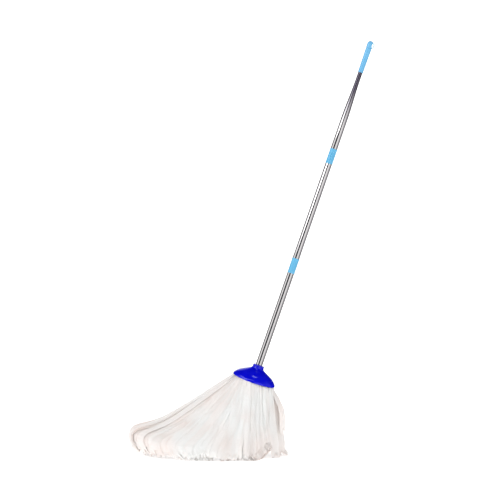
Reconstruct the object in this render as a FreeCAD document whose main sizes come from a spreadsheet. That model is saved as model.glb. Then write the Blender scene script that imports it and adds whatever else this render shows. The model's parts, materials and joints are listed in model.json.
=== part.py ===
import FreeCAD, Part
import math
import os
import re
import Sketcher

# String mop that stands on its strips with its pole leaning over.
#
# Row frame: the floor is z = 0, and the origin is on the floor under the centre of the cap's rim.
# +X is the way the pole leans, +Z is up. The strips trail towards -X.
# The cap and the pole are drawn upright about their own axis, with the rim's plane at height 0,
# and each gets the same tilted Placement.

os.makedirs("parts", exist_ok=True)
doc = FreeCAD.newDocument("string_mop")

# ------------------------------------------------------------------ driving dimensions

DIMENSIONS = [
    ("lean_angle", 19, "pole's lean from vertical towards +X, degrees"),
    ("rim_height", 252, "centre of the cap's rim above the floor"),
    ("cap_radius", 72.5, "cap at its rim"),
    ("cap_wall", 2.4, "thickness of the cap's skirt"),
    ("lip_height", 5, "straight outer lip of the cap's rim"),
    ("shoulder_radius", 57, "where the skirt turns flatter"),
    ("shoulder_height", 21, "height of that turn"),
    ("ceiling_radius", 55.3, "where the skirt turns flatter on its inside"),
    ("ceiling_height", 18.8, "height of that inner turn"),
    ("crown_radius", 30, "foot of the neck's flare"),
    ("crown_height", 36, "height of the neck's flare"),
    ("neck_radius", 18.5, "outside of the socket neck"),
    ("neck_foot", 42, "where the neck becomes straight"),
    ("neck_flare", 2, "small flare where the neck starts"),
    ("neck_top", 53, "top of the neck above the rim"),
    ("neck_chamfer", 1.5, "edge of the neck's top"),
    ("socket_radius", 14, "inner socket wall, outside"),
    ("socket_depth", 16, "how far the lower tube enters the neck"),
    ("socket_foot", 4, "lower end of the inner socket"),
    ("rib_radius", 50, "round rib that presses on the strip band"),
    ("rib_wall", 2.2, "thickness of that rib"),
    ("band_height", 8, "height of the clamped strip band"),
    ("band_inner", 39, "strip band, inside radius"),
    ("band_outer", 66, "strip band, outside radius"),
    ("disc_radius", 52, "clamp disc"),
    ("disc_wall", 4, "clamp disc thickness"),
    ("disc_bore", 12, "radius of the clear hole in the middle of the disc"),
    ("boss_circle", 30, "radius of the circle of screw bosses"),
    ("boss_radius", 4.6, "screw boss outside radius"),
    ("boss_count", 4, "screws that hold the disc"),
    ("screw_radius", 2, "clamp screw shank radius"),
    ("screw_length", 20, "clamp screw under its head"),
    ("screw_head_radius", 4, "pan head radius"),
    ("screw_head_height", 2.6, "pan head height"),
    ("washer_radius", 5, "plain washer radius"),
    ("washer_wall", 1, "plain washer thickness"),
    ("tube_radius", 11, "outside radius of the pole's tubes"),
    ("tube_wall", 0.6, "wall of the tubes"),
    ("section_pitch", 383, "from one coupling to the next along the pole"),
    ("first_joint", 406, "height of the first tube-to-tube joint above the rim"),
    ("collar_radius", 12, "outside radius of a coupling collar"),
    ("collar_length", 51, "coupling collar, end to end"),
    ("collar_chamfer", 0.6, "edge of a coupling collar"),
    ("spigot_length", 42, "coupling's spigot inside the tube below it"),
    ("web_wall", 2, "web between the tube below and the seal ring"),
    ("thread_radius", 7.5, "female thread in a coupling"),
    ("neck_thread_radius", 9.5, "female thread in the cap's socket"),
    ("running_gap", 0.08, "radial clearance of a turning fit"),
    ("stud_length", 28, "threaded stud of an end plug"),
    ("plug_length", 30, "end plug inside its own tube"),
    ("seal_wall", 2, "thickness of a seal ring"),
    ("seal_gap", 0.2, "seal ring's clearance in its pocket and on its stud"),
    ("swage_start", 917, "where the upper tube starts to draw down"),
    ("swage_end", 1057, "where it has reached its small size"),
    ("top_radius", 7.2, "upper tube's small end, outside"),
    ("tube_end", 1147, "top end of the upper tube"),
    ("grip_start", 1078, "lower end of the grip"),
    ("grip_end", 1162, "top of the grip, under the swivelling end"),
    ("grip_wall", 7, "end wall of the grip"),
    ("grip_low_radius", 8.3, "grip at its lower end"),
    ("grip_mid_radius", 9.1, "grip at its middle"),
    ("grip_top_radius", 9.8, "grip at its top"),
    ("loop_top", 1187, "tip of the swivelling end"),
    ("loop_gap", 0.3, "face clearance under the swivelling end"),
    ("stem_radius", 3.5, "swivel stem"),
    ("stem_length", 13, "swivel stem under the end"),
    ("retainer_radius", 5.6, "push-on retainer"),
    ("retainer_wall", 1, "push-on retainer thickness"),
    ("eye_offset", 9.4, "centre of the eye from the pole's axis"),
    ("eye_height", 1173, "centre of the eye along the pole"),
    ("eye_half_width", 2.8, "half width of the eye's opening"),
    ("eye_half_span", 3.4, "half distance between the centres of the opening's round ends"),
    ("eye_rim", 2.3, "width of the rim round the opening"),
    ("eye_depth", 6.5, "eye's thickness from front to back"),
    ("ring_inner", 54, "strips leave the cap between this radius"),
    ("ring_outer", 69, "and this one"),
    ("ring_drop", 1.2, "strip bundles start this far under the rim"),
    ("bundle_gap", 0.3, "space between neighbouring bundles"),
    ("hump_place", 0.66, "where a bundle's fall turns flatter, as a share of its run"),
    ("toe_place", 0.985, "top of a bundle's rounded end, as a share of its reach"),
    ("toe_round", 0.6, "height of its outermost point, as a share of the rounded end's height"),
    ("core_radius", 9, "innermost strips where they meet the floor"),
    ("core_top_radius", 28, "innermost strips under the disc"),
    ("core_height", 224, "innermost strips, height"),
    ("core_gap", 2, "space between the innermost strips and the bundles round them"),
    ("disc_clearance", 10, "bundles stay this far under the rim's plane beneath the disc"),
]

sheet = doc.addObject("Spreadsheet::Sheet", "Dims")
for row, (alias, size, note) in enumerate(DIMENSIONS, start=1):
    sheet.set(f"A{row}", alias)
    sheet.set(f"B{row}", str(size))
    sheet.set(f"C{row}", note)
    sheet.setAlias(f"B{row}", alias)
doc.recompute()

ALIAS = re.compile(r"[a-z]+(_[a-z]+)+")


def bound(text):
    """An expression on the sheet's cells, from one that names only their aliases."""
    return ALIAS.sub(lambda found: f"Dims.{found.group(0)}", text)


def size_of(text):
    """The number that such an expression has now."""
    return float(sheet.evalExpression(bound(text)))


# ------------------------------------------------------------------ helpers

parts = []
POLE_PLACEMENT = "placement(vector(0; 0; rim_height); rotation(vector(0; 1; 0); lean_angle))"


def keep(part, label):
    """Name a finished sub-part and remember it for the export."""
    part.Label = label
    parts.append(part)
    return part


def keep_on_pole(part, label):
    """The same for a sub-part drawn about the pole's axis, which leans."""
    part.setExpression("Placement", bound(POLE_PLACEMENT))
    return keep(part, label)


def origin_plane(body, role):
    return next(plane for plane in body.Origin.OriginFeatures if plane.Role == role)


def new_sketch(body, name, role):
    sketch = body.newObject("Sketcher::SketchObject", name)
    sketch.AttachmentSupport = (origin_plane(body, role), [""])
    sketch.MapMode = "FlatFace"
    return sketch


def pin_point(sketch, edge, end, texts):
    """Tie one end of a sketch edge to two expressions on the sheet."""
    for axis, kind, text in ((-2, "DistanceX", texts[0]), (-1, "DistanceY", texts[1])):
        number = size_of(text)
        if abs(number) < 1e-9:
            sketch.addConstraint(Sketcher.Constraint("PointOnObject", edge, end, axis))
            continue
        index = sketch.addConstraint(Sketcher.Constraint(kind, -1, 1, edge, end, number))
        sketch.setExpression(f"Constraints[{index}]", bound(text))


def closed_outline(sketch, points):
    """Straight closed outline through points that are pairs of expressions."""
    numbers = [FreeCAD.Vector(size_of(across), size_of(up), 0) for across, up in points]
    count = len(points)
    for index in range(count):
        line = Part.LineSegment(numbers[index], numbers[(index + 1) % count])
        sketch.addGeometry(line, False)
    for index in range(count):
        sketch.addConstraint(Sketcher.Constraint("Coincident", index, 2, (index + 1) % count, 1))
    for index, point in enumerate(points):
        pin_point(sketch, index, 1, point)


def circle(sketch, centre, radius):
    """Circle whose centre and radius are expressions on the sheet."""
    place = FreeCAD.Vector(size_of(centre[0]), size_of(centre[1]), 0)
    ring = Part.Circle(place, FreeCAD.Vector(0, 0, 1), size_of(radius))
    edge = sketch.addGeometry(ring, False)
    index = sketch.addConstraint(Sketcher.Constraint("Radius", edge, size_of(radius)))
    sketch.setExpression(f"Constraints[{index}]", bound(radius))
    pin_point(sketch, edge, 3, centre)


def turned(name, points):
    """Body turned about its own Z axis from an outline of (radius, height) expressions."""
    body = doc.addObject("PartDesign::Body", name)
    sketch = new_sketch(body, f"{name}_outline", "XZ_Plane")
    closed_outline(sketch, points)
    turn = body.newObject("PartDesign::Revolution", f"{name}_turn")
    turn.Profile = sketch
    turn.ReferenceAxis = (sketch, ["V_Axis"])
    turn.Angle = 360
    body.Tip = turn
    return body


def ring_points(inner, outer, low, high):
    return [(inner, low), (outer, low), (outer, high), (inner, high)]


def repeat_round(body, feature, sketch, count):
    """Repeat one feature of a body evenly round its axis."""
    pattern = body.newObject("PartDesign::PolarPattern", f"{feature.Name}_round")
    pattern.Originals = [feature]
    pattern.Axis = (sketch, ["N_Axis"])
    pattern.Angle = 360
    pattern.setExpression("Occurrences", bound(count))
    body.Tip = pattern
    return pattern


def cut_holes(body, name, centre, radius, low, high, count):
    """Round holes from one height to another, evenly round the body's axis."""
    before = body.Shape.Volume
    sketch = new_sketch(body, f"{name}_circle", "XY_Plane")
    sketch.setExpression("AttachmentOffset.Base.z", bound(high))
    circle(sketch, centre, radius)
    pocket = body.newObject("PartDesign::Pocket", name)
    pocket.Profile = sketch
    pocket.setExpression("Length", bound(f"({high}) - ({low})"))
    doc.recompute()
    repeat_round(body, pocket, sketch, count)
    doc.recompute()
    if body.Shape.Volume > before - 1:
        raise SystemExit(f"{name} removed nothing")


def group_round(name, piece, count):
    """Equal separate solids evenly round the Z axis, as one sub-part."""
    group = doc.addObject("Part::Feature", name)
    turns = [360 * index / count for index in range(count)]
    axis = FreeCAD.Vector(0, 0, 1)
    group.Shape = Part.makeCompound([piece.rotated(FreeCAD.Vector(), axis, turn) for turn in turns])
    return group


# ------------------------------------------------------------------ cap and clamp

def make_cap():
    """Skirt, socket neck and pressing rib in one turned shell, with four screw bosses."""
    slope = "(crown_height - cap_wall - ceiling_height) / (ceiling_radius - crown_radius)"
    rib_outside = "rib_radius + rib_wall"
    rib_top = f"ceiling_height + (ceiling_radius - rib_radius - rib_wall) * {slope}"
    rib_top_inner = f"ceiling_height + (ceiling_radius - rib_radius) * {slope}"
    seat = "neck_top - socket_depth"
    body = turned("mop_cap", [
        ("neck_thread_radius", "socket_foot"),
        ("socket_radius", "socket_foot"),
        ("socket_radius", "crown_height - cap_wall"),
        ("crown_radius", "crown_height - cap_wall"),
        ("rib_radius", rib_top_inner),
        ("rib_radius", "band_height"),
        (rib_outside, "band_height"),
        (rib_outside, rib_top),
        ("ceiling_radius", "ceiling_height"),
        ("cap_radius - cap_wall", "lip_height"),
        ("cap_radius - cap_wall", "0"),
        ("cap_radius", "0"),
        ("cap_radius", "lip_height"),
        ("shoulder_radius", "shoulder_height"),
        ("crown_radius", "crown_height"),
        ("neck_radius + neck_flare", "neck_foot - neck_flare"),
        ("neck_radius", "neck_foot"),
        ("neck_radius", "neck_top - neck_chamfer"),
        ("neck_radius - neck_chamfer", "neck_top"),
        ("tube_radius + running_gap", "neck_top"),
        ("tube_radius + running_gap", seat),
        ("neck_thread_radius", seat),
    ])
    doc.recompute()
    sketch = new_sketch(body, "boss_circle_sketch", "XY_Plane")
    circle(sketch, ("boss_circle", "0"), "boss_radius")
    boss = body.newObject("PartDesign::Pad", "screw_boss")
    boss.Profile = sketch
    boss.setExpression("Length", bound("crown_height - cap_wall / 2"))
    doc.recompute()
    repeat_round(body, boss, sketch, "boss_count")
    doc.recompute()
    cut_holes(body, "screw_hole", ("boss_circle", "0"), "screw_radius",
              "-1", "screw_length - disc_wall - washer_wall", "boss_count")
    return keep_on_pole(body, "mop_cap")


def make_disc():
    """Flat disc that presses the strips' sewn band up into the cap."""
    body = turned("clamp_disc", ring_points("disc_bore", "disc_radius", "-disc_wall", "0"))
    doc.recompute()
    cut_holes(body, "disc_hole", ("boss_circle", "0"), "screw_radius + seal_gap",
              "-disc_wall - 1", "1", "boss_count")
    return keep_on_pole(body, "clamp_disc")


def make_screws():
    """Four pan-head screws up through the disc into the bosses."""
    spot = FreeCAD.Vector(size_of("boss_circle"), 0, size_of("-disc_wall - washer_wall"))
    head_height = size_of("screw_head_height")
    down = FreeCAD.Vector(0, 0, -1)
    shank = Part.makeCylinder(size_of("screw_radius"), size_of("screw_length"), spot)
    head = Part.makeCylinder(size_of("screw_head_radius"), head_height, spot, down)
    count = int(size_of("boss_count"))
    screw = shank.fuse(head).removeSplitter()
    keep_on_pole(group_round("clamp_screws", screw, count), "clamp_screws")
    outside = Part.makeCylinder(size_of("washer_radius"), size_of("washer_wall"), spot)
    washer = outside.cut(Part.makeCylinder(size_of("screw_radius"), size_of("washer_wall"), spot))
    keep_on_pole(group_round("screw_washers", washer, count), "screw_washers")


def make_band():
    """Sewn band at the root of the strips."""
    body = turned("strip_band", ring_points("band_inner", "band_outer", "0", "band_height"))
    return keep_on_pole(body, "strip_band")


# ------------------------------------------------------------------ pole

def make_end_plug(name, joint, thread):
    """Plug in a tube's lower end, with the threaded stud that stands out below it."""
    stud = f"{thread} - running_gap"
    bore = f"{thread} - 3"
    body = turned(name, [
        (bore, f"{joint} - stud_length"),
        (f"{stud} - 1", f"{joint} - stud_length"),
        (stud, f"{joint} - stud_length + 1"),
        (stud, joint),
        ("tube_radius - tube_wall", joint),
        ("tube_radius - tube_wall", f"{joint} + plug_length"),
        (bore, f"{joint} + plug_length"),
    ])
    return keep_on_pole(body, name)


def make_seal(name, joint, thread):
    """Washer on the stud, between the tube's end and the seat it is screwed down on."""
    inner = f"{thread} - running_gap + seal_gap"
    body = turned(name, ring_points(inner, "tube_radius - seal_gap", f"{joint} - seal_wall", joint))
    return keep_on_pole(body, name)


def make_collar(name, joint):
    """Coupling: sleeve over both tube ends, web, and a threaded spigot in the tube below."""
    low = f"{joint} - seal_wall - collar_length / 2"
    high = f"{joint} - seal_wall + collar_length / 2"
    web_top = f"{joint} - seal_wall"
    web_foot = f"{joint} - seal_wall - web_wall"
    spigot_foot = f"{joint} - seal_wall - spigot_length"
    body = turned(name, [
        ("thread_radius", spigot_foot),
        ("tube_radius - tube_wall", spigot_foot),
        ("tube_radius - tube_wall", web_foot),
        ("tube_radius", web_foot),
        ("tube_radius", low),
        ("collar_radius - collar_chamfer", low),
        ("collar_radius", f"{low} + collar_chamfer"),
        ("collar_radius", f"{high} - collar_chamfer"),
        ("collar_radius - collar_chamfer", high),
        ("tube_radius + running_gap", high),
        ("tube_radius + running_gap", web_top),
        ("thread_radius", web_top),
    ])
    return keep_on_pole(body, name)


def make_tube(name, low, high):
    """Plain thin-walled tube."""
    body = turned(name, ring_points("tube_radius - tube_wall", "tube_radius", low, high))
    return keep_on_pole(body, name)


def make_upper_tube(low):
    """Thin-walled tube that is drawn down to a smaller size towards the grip."""
    body = turned("upper_tube", [
        ("tube_radius - tube_wall", low),
        ("tube_radius", low),
        ("tube_radius", "swage_start"),
        ("top_radius", "swage_end"),
        ("top_radius", "tube_end"),
        ("top_radius - tube_wall", "tube_end"),
        ("top_radius - tube_wall", "swage_end"),
        ("tube_radius - tube_wall", "swage_start"),
    ])
    return keep_on_pole(body, "upper_tube")


def make_grip():
    """Moulded sleeve, a little barrelled, closed at the top but for the swivel's hole."""
    wall_foot = "grip_end - grip_wall"
    body = turned("grip_sleeve", [
        ("top_radius", "grip_start"),
        ("grip_low_radius - 0.4", "grip_start"),
        ("grip_low_radius", "grip_start + 2"),
        ("grip_mid_radius", "(grip_start + grip_end) / 2"),
        ("grip_top_radius", "grip_end - 12"),
        ("grip_top_radius", "grip_end - 1"),
        ("grip_top_radius - 1", "grip_end"),
        ("stem_radius + running_gap", "grip_end"),
        ("stem_radius + running_gap", wall_foot),
        ("top_radius", wall_foot),
    ])
    return keep_on_pole(body, "grip_sleeve")


def stadium(sketch, half_width):
    """Upright round-ended outline about the eye's centre."""
    across = size_of("eye_offset")
    radius = size_of(half_width)
    top = size_of("eye_height + eye_half_span")
    foot = size_of("eye_height - eye_half_span")
    up = FreeCAD.Vector(0, 0, 1)
    for height, start in ((top, 0), (foot, math.pi)):
        ring = Part.Circle(FreeCAD.Vector(across, height, 0), up, radius)
        sketch.addGeometry(Part.ArcOfCircle(ring, start, start + math.pi), False)
    for side, ends in ((-radius, (top, foot)), (radius, (foot, top))):
        points = [FreeCAD.Vector(across + side, height, 0) for height in ends]
        sketch.addGeometry(Part.LineSegment(*points), False)
    for first, second in (((0, 2), (2, 1)), ((2, 2), (1, 1)), ((1, 2), (3, 1)), ((3, 2), (0, 1))):
        sketch.addConstraint(Sketcher.Constraint("Tangent", *first, *second))
    pin_point(sketch, 0, 3, ("eye_offset", "eye_height + eye_half_span"))
    pin_point(sketch, 1, 3, ("eye_offset", "eye_height - eye_half_span"))
    index = sketch.addConstraint(Sketcher.Constraint("Radius", 0, radius))
    sketch.setExpression(f"Constraints[{index}]", bound(half_width))


def make_loop():
    """Swivelling end: domed head and stem, with a flat eye on its side to hang the mop by."""
    foot = "grip_end + loop_gap"
    body = turned("hanging_loop", [
        ("0", f"{foot} - stem_length"),
        ("stem_radius", f"{foot} - stem_length"),
        ("stem_radius", foot),
        ("grip_top_radius - 1", foot),
        ("grip_top_radius", f"{foot} + 1"),
        ("grip_top_radius", "eye_height + 3"),
        ("grip_top_radius - 2", "loop_top - 4"),
        ("grip_top_radius - 5.5", "loop_top - 0.8"),
        ("0", "loop_top"),
    ])
    doc.recompute()
    rim = new_sketch(body, "eye_rim_outline", "XZ_Plane")
    stadium(rim, "eye_half_width + eye_rim")
    pad = body.newObject("PartDesign::Pad", "eye_rim_pad")
    pad.Profile = rim
    pad.Midplane = True
    pad.setExpression("Length", bound("eye_depth"))
    doc.recompute()
    body.Tip = pad
    before = body.Shape.Volume
    opening = new_sketch(body, "eye_outline", "XZ_Plane")
    stadium(opening, "eye_half_width")
    pocket = body.newObject("PartDesign::Pocket", "eye_opening")
    pocket.Profile = opening
    pocket.Midplane = True
    pocket.setExpression("Length", bound("grip_top_radius * 3"))
    doc.recompute()
    body.Tip = pocket
    if body.Shape.Volume > before - 1:
        raise SystemExit("the eye's opening removed nothing")
    return keep_on_pole(body, "hanging_loop")


def make_retainer():
    """Push-on washer on the swivel stem, under the grip's end wall."""
    top = "grip_end - grip_wall - loop_gap"
    body = turned("loop_retainer",
                  ring_points("stem_radius", "retainer_radius", f"{top} - retainer_wall", top))
    return keep_on_pole(body, "loop_retainer")


# ------------------------------------------------------------------ strips

def ring_reach(azimuth, radius):
    """How far out from the vertical axis a circle in the rim's plane is, in one direction."""
    lean = math.radians(size_of("lean_angle"))
    across = math.cos(azimuth) / math.cos(lean)
    return radius / math.hypot(across, math.sin(azimuth))


def under_rim(azimuth, reach):
    """Height of the rim's plane there, less the small gap under it."""
    lean = math.radians(size_of("lean_angle"))
    return size_of("rim_height - ring_drop") - reach * math.cos(azimuth) * math.tan(lean)


def fall_section(azimuth, fall, side):
    """Closed section of the strips in one upright plane through the vertical axis.

    fall is (reach, hump, toe, foot): how far out the strips get, the height where their fall
    turns flatter, the height of their rounded ends, and how far out they still touch the floor.
    """
    reach, hump, toe, foot = fall
    top_out = ring_reach(azimuth, size_of("ring_outer"))
    hump_out = top_out + size_of("hump_place") * (reach - top_out)
    top_in = ring_reach(azimuth, size_of("ring_inner"))
    core_top = size_of("core_top_radius + core_gap")
    under_disc = size_of("disc_clearance")
    section = [
        (top_out, under_rim(azimuth, top_out)),
        (hump_out, hump),
        (reach * size_of("toe_place"), toe),
        (reach, toe * size_of("toe_round")),
        (foot, 0),
        (size_of("core_radius + core_gap"), 0),
        (core_top, size_of("core_height")),
        (core_top, under_rim(azimuth, core_top) - under_disc),
        (top_in, under_rim(azimuth, top_in) - under_disc),
        (top_in, under_rim(azimuth, top_in)),
    ]
    shift = side * size_of("bundle_gap") / 2
    along = FreeCAD.Vector(math.cos(azimuth), math.sin(azimuth), 0)
    aside = FreeCAD.Vector(-math.sin(azimuth), math.cos(azimuth), 0) * shift
    points = [along * out + aside + FreeCAD.Vector(0, 0, up) for out, up in section]
    return Part.makePolygon(points + points[:1])


def make_bundle(name, angles):
    """Strips between two directions, with a third between them, as one closed solid."""
    bundle = doc.addObject("Part::Feature", name)
    sides = (1, 0, -1)
    sections = [fall_section(math.radians(angle), FALLS[angle], side) for angle, side in zip(angles, sides)]
    bundle.Shape = Part.makeLoft(sections, True, True)
    return keep(bundle, name)


# Fall of the strips by direction, in degrees from +X, as (reach, hump, toe, foot).
# The head was drawn towards +X, so its strips trail behind it and few reach the floor ahead.
FALLS = {
    -45: (86, 106, 50, 82),
    -15: (104, 98, 42, 99),
    14: (97, 100, 44, 92),
    15: (74, 118, 66, 30),
    42: (80, 116, 62, 36),
    66: (92, 112, 54, 60),
    93: (118, 108, 44, 108),
    120: (142, 108, 46, 130),
    140: (206, 114, 56, 186),
    160: (306, 121, 72, 276),
    170: (396, 125, 86, 356),
    180: (414, 127, 88, 376),
    188: (376, 125, 82, 342),
    200: (276, 119, 64, 254),
    218: (182, 112, 50, 168),
    240: (122, 108, 44, 114),
    264: (104, 108, 44, 97),
    288: (96, 112, 56, 70),
    302: (88, 115, 66, 48),
    315: (80, 118, 70, 40),
}

# Bundles by name, with their first, middle and last direction.
BUNDLES = {
    "strips_tail": (-45, -15, 14),
    "strips_back_right": (15, 42, 66),
    "strips_back": (66, 93, 120),
    "strips_back_left": (120, 140, 160),
    "strips_left_back": (160, 170, 180),
    "strips_left_front": (180, 188, 200),
    "strips_front_left": (200, 218, 240),
    "strips_front": (240, 264, 288),
    "strips_front_right": (288, 302, 315),
}


def make_core():
    """Innermost strips, which stand on the floor under the middle of the cap."""
    core = doc.addObject("Part::Cone", "strips_core")
    core.setExpression("Radius1", bound("core_radius"))
    core.setExpression("Radius2", bound("core_top_radius"))
    core.setExpression("Height", bound("core_height"))
    return keep(core, "strips_core")


# ------------------------------------------------------------------ assembly

NECK_JOINT = "(neck_top - socket_depth + seal_wall)"
LOWER_JOINT = "first_joint"
UPPER_JOINT = "(first_joint + section_pitch)"

make_cap()
make_disc()
make_screws()
make_band()
for bundle_name, bundle_angles in BUNDLES.items():
    make_bundle(bundle_name, bundle_angles)
make_core()

make_seal("neck_seal_ring", NECK_JOINT, "neck_thread_radius")
make_end_plug("lower_end_plug", NECK_JOINT, "neck_thread_radius")
make_tube("lower_tube", NECK_JOINT, f"{LOWER_JOINT} - seal_wall - web_wall")
make_collar("lower_collar", LOWER_JOINT)

make_seal("lower_seal_ring", LOWER_JOINT, "thread_radius")
make_end_plug("middle_end_plug", LOWER_JOINT, "thread_radius")
make_tube("middle_tube", LOWER_JOINT, f"{UPPER_JOINT} - seal_wall - web_wall")
make_collar("upper_collar", UPPER_JOINT)

make_seal("upper_seal_ring", UPPER_JOINT, "thread_radius")
make_end_plug("upper_end_plug", UPPER_JOINT, "thread_radius")
make_upper_tube(UPPER_JOINT)
make_grip()
make_loop()
make_retainer()

doc.recompute()

# ------------------------------------------------------------------ test and write

for item in doc.Objects:
    if "Invalid" in item.State or "Error" in item.State:
        raise SystemExit(f"{item.Label} did not build: {item.State}")
for part in parts:
    if part.Shape.isNull() or not part.Shape.isValid():
        raise SystemExit(f"{part.Label} has no valid shape")
    part.Shape.exportStep(f"parts/{part.Label}.step")
    box = part.Shape.BoundBox
    print(f"{part.Label:20s} {part.Shape.Volume / 1000:9.2f} cm3  z {box.ZMin:8.2f} {box.ZMax:8.2f}")
print(f"{len(parts)} sub-parts written")
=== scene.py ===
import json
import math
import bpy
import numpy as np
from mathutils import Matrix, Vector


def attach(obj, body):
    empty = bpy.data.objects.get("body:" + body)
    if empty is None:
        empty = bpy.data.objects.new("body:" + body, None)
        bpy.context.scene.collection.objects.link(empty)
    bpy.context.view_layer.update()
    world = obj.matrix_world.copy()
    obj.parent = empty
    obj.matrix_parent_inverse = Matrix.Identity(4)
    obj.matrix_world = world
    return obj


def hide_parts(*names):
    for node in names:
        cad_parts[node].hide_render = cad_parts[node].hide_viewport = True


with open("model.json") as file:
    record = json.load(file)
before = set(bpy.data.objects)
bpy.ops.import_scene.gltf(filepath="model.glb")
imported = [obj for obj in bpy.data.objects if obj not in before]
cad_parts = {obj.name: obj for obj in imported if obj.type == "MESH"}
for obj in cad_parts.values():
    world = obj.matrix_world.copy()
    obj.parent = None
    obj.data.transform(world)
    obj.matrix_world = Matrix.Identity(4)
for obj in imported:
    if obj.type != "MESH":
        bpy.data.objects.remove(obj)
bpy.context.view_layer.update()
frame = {"record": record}

# %% [markdown]
# # A string mop in Blender
# The frame that was just loaded holds the mop's solid parts at their real size, in metres.
# Everything below is modelled round them: the moulded cap, the bright pole with its collars and
# grip, and about a hundred and eighty cloth strips. The pole leans, so the turned pieces are
# modelled upright about the Z axis first, which is easy to think about, and are then moved onto
# the leaning axis in one step.

record = frame["record"]
screw_joint = next(j for j in record["behaviour"]["joints"] if j["name"] == "lower_section_screw")
axis_up = Vector(screw_joint["axis"]).normalized()
LEAN = math.atan2(axis_up.x, axis_up.z)
RIM_HEIGHT = 0.252
POLE = Matrix.Translation((0, 0, RIM_HEIGHT)) @ Matrix.Rotation(LEAN, 4, "Y")

# %% [markdown]
# ## Camera
# A long lens from a little above the floor keeps the pole nearly the same width all the way up,
# as in a catalogue picture. The camera is made from a target point, a distance and two angles,
# which is easier to tune than a bare location and rotation.

# %% Camera
CAMERA_RISE = math.radians(3.1)
CAMERA_DISTANCE = 4.6
TARGET = Vector((-0.0124, 0, 0.6861))
VIEW_WIDTH = 1.6575
SENSOR = 36
away = Vector((0, -math.cos(CAMERA_RISE), math.sin(CAMERA_RISE)))
bpy.ops.object.camera_add(location=TARGET + away * CAMERA_DISTANCE)
camera = bpy.context.object
camera.rotation_euler = (-away).to_track_quat("-Z", "Y").to_euler()
camera.data.sensor_width = SENSOR
camera.data.lens = SENSOR * CAMERA_DISTANCE / VIEW_WIDTH
bpy.context.scene.camera = camera
bpy.context.scene.view_settings.view_transform = "Standard"
print(f"lens {camera.data.lens:.0f} mm")

# %% [markdown]
# ## Nodes without the clutter
# A material is a small program. Two helpers keep it readable: `Wire` wraps a socket so that
# `1 - mask * 0.3` builds its Math nodes, and `Board` adds any other node in one call.

# %% Wire and Board
class Wire:
    """A socket that can be used in arithmetic."""

    def __init__(self, board, socket):
        self.board = board
        self.socket = socket

    def maths(self, operation, first, second=None):
        values = [first] if second is None else [first, second]
        return self.board.add("ShaderNodeMath", {"operation": operation}, values)

    def __add__(self, other):
        return self.maths("ADD", self, other)

    def __radd__(self, other):
        return self.maths("ADD", other, self)

    def __sub__(self, other):
        return self.maths("SUBTRACT", self, other)

    def __rsub__(self, other):
        return self.maths("SUBTRACT", other, self)

    def __mul__(self, other):
        return self.maths("MULTIPLY", self, other)

    def __rmul__(self, other):
        return self.maths("MULTIPLY", other, self)

    def clamp(self):
        return self.board.add("ShaderNodeClamp", {}, [self, 0.0, 1.0])


class Board:
    """A material or world node tree, with short ways to add to it."""

    def __init__(self, tree):
        self.tree = tree

    def add(self, kind, settings, values, output=0):
        """Add a node: its settings, then the numbers or wires of its sockets."""
        node = self.tree.nodes.new(kind)
        for name, value in settings.items():
            if name == "stops":
                self.set_stops(node.color_ramp, value)
            else:
                setattr(node, name, value)
        pairs = values.items() if isinstance(values, dict) else enumerate(values)
        for key, value in pairs:
            if isinstance(value, Wire):
                self.tree.links.new(value.socket, node.inputs[key])
            elif value is not None:
                node.inputs[key].default_value = value
        return Wire(self, node.outputs[output])

    def set_stops(self, ramp, stops):
        while len(ramp.elements) < len(stops):
            ramp.elements.new(1.0)
        for element, (place, shade) in zip(ramp.elements, stops):
            element.position = place
            element.color = (*shade, 1)

    def split(self, vector):
        """The three coordinates of a place or a direction."""
        first = self.add("ShaderNodeSeparateXYZ", {}, [vector])
        return [Wire(self, out) for out in first.socket.node.outputs]

    def place(self, name="Object"):
        return self.add("ShaderNodeTexCoord", {}, {}, output=name)

    def noise(self, where, scale, detail=2.0):
        sockets = {"Vector": where, "Scale": scale, "Detail": detail}
        return self.add("ShaderNodeTexNoise", {}, sockets)

    def ramp(self, value, stops):
        return self.add("ShaderNodeValToRGB", {"stops": stops}, [value])

    def mix(self, factor, one, other):
        """Blend two colours: the sockets of a colour Mix node are numbers 0, 6 and 7."""
        return self.add("ShaderNodeMix", {"data_type": "RGBA"}, {0: factor, 6: one, 7: other}, output=2)

    def stretch(self, where, scale):
        return self.add("ShaderNodeMapping", {}, {"Vector": where, "Scale": scale})

    def bump(self, height, strength, distance):
        sockets = {"Strength": strength, "Distance": distance, "Height": height}
        return self.add("ShaderNodeBump", {}, sockets)


def linear(red, green, blue):
    """A colour picked in ordinary 0 to 255 steps, as the linear numbers that nodes want."""
    return tuple(((c / 255 + 0.055) / 1.055) ** 2.4 if c > 10 else c / 3294.6
                 for c in (red, green, blue))


def new_material(name, colour, roughness, **fixed):
    """A Principled material. What is the same all over is set on the shader's own sockets."""
    material = bpy.data.materials.new(name)
    material.use_nodes = True
    shader = material.node_tree.nodes["Principled BSDF"]
    shader.inputs["Base Color"].default_value = (*colour, 1)
    shader.inputs["Roughness"].default_value = roughness
    for socket, value in fixed.items():
        shader.inputs[socket.replace("_", " ")].default_value = value
    return material, Board(material.node_tree), shader


def feed(board, shader, **wires):
    for socket, wire in wires.items():
        board.tree.links.new(wire.socket, shader.inputs[socket.replace("_", " ")])


print("wires and boards are ready")

# %% [markdown]
# ## Light
# Bright metal is a mirror, so its look is really a picture of the room. The world is painted as a
# white studio with a few dark gaps, which become the dark stripes along the tubes. A flat white
# room alone would make the pole grey. Directions are turned into an angle round the vertical.
# Two lamps overhead are painted in as well, for the highlights of the cap, and only mirrored rays
# see any of this: the cloth is lit by a plain soft sky, and the camera sees a white backdrop.

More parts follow.
